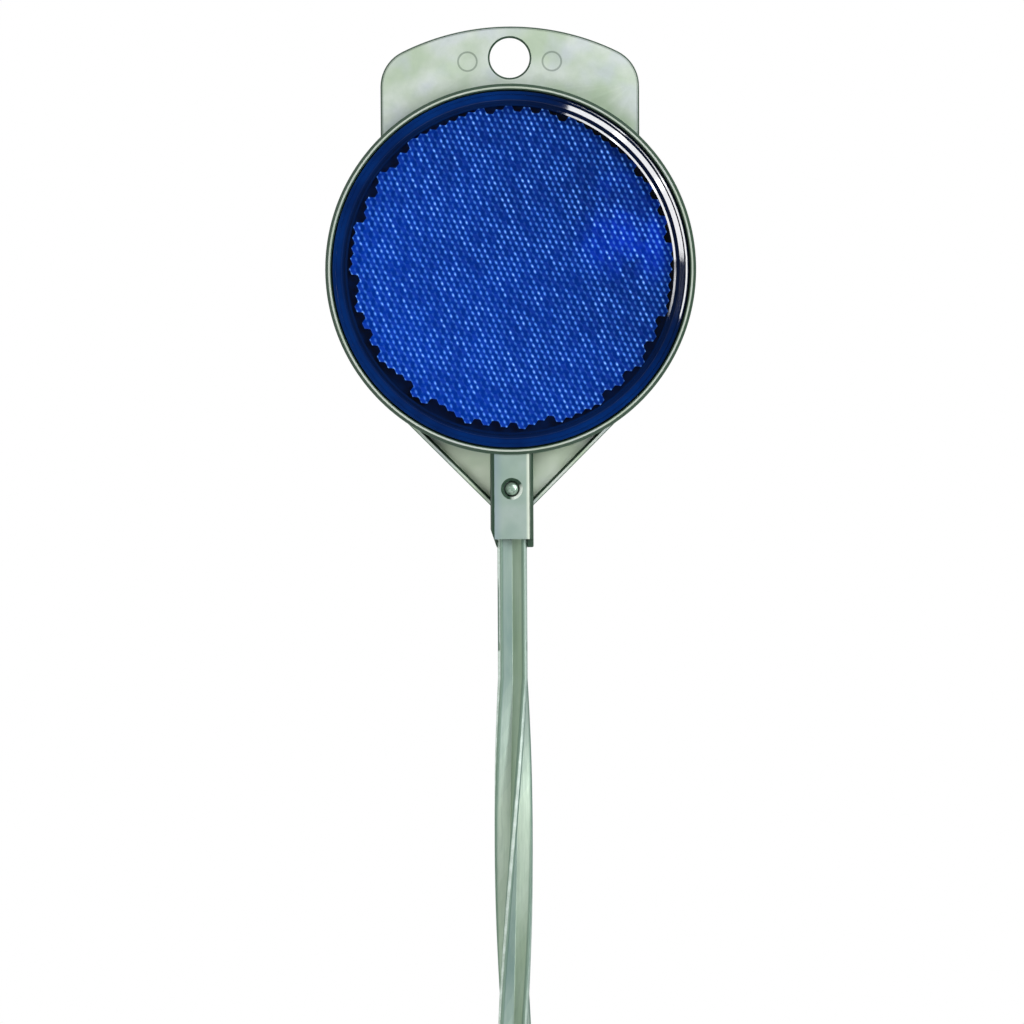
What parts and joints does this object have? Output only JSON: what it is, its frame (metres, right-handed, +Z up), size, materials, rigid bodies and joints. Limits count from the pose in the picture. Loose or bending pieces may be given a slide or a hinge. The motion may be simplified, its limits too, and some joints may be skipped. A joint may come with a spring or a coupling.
{
  "type": "stake reflector",
  "caption": "Round blue prism reflector in a silver-grey housing with a nail tab, on a twisted fluted aluminium stake.",
  "frame": {"origin": "point of the stake, on the stake's axis", "axes": "+Z up along the stake, -Y is the way the reflector faces, +X to the right as seen from the front"},
  "size_m": [0.0826, 0.0105, 0.9144],
  "materials": {
    "housing_plastic": "silver-grey moulded plastic with a faint green cast and a satin sheen",
    "blue_acrylic": "clear deep-blue acrylic, polished in front, with corner-cube prisms behind",
    "stake_aluminium": "drawn and twisted aluminium, satin, with fine lines along it",
    "rivet_aluminium": "bright aluminium rivet head"
  },
  "bodies": {
    "root": {"reflector_housing": "housing_plastic", "prism_lens": "blue_acrylic", "stake": "stake_aluminium", "locking_rivet": "rivet_aluminium"}
  },
  "joints": []
}
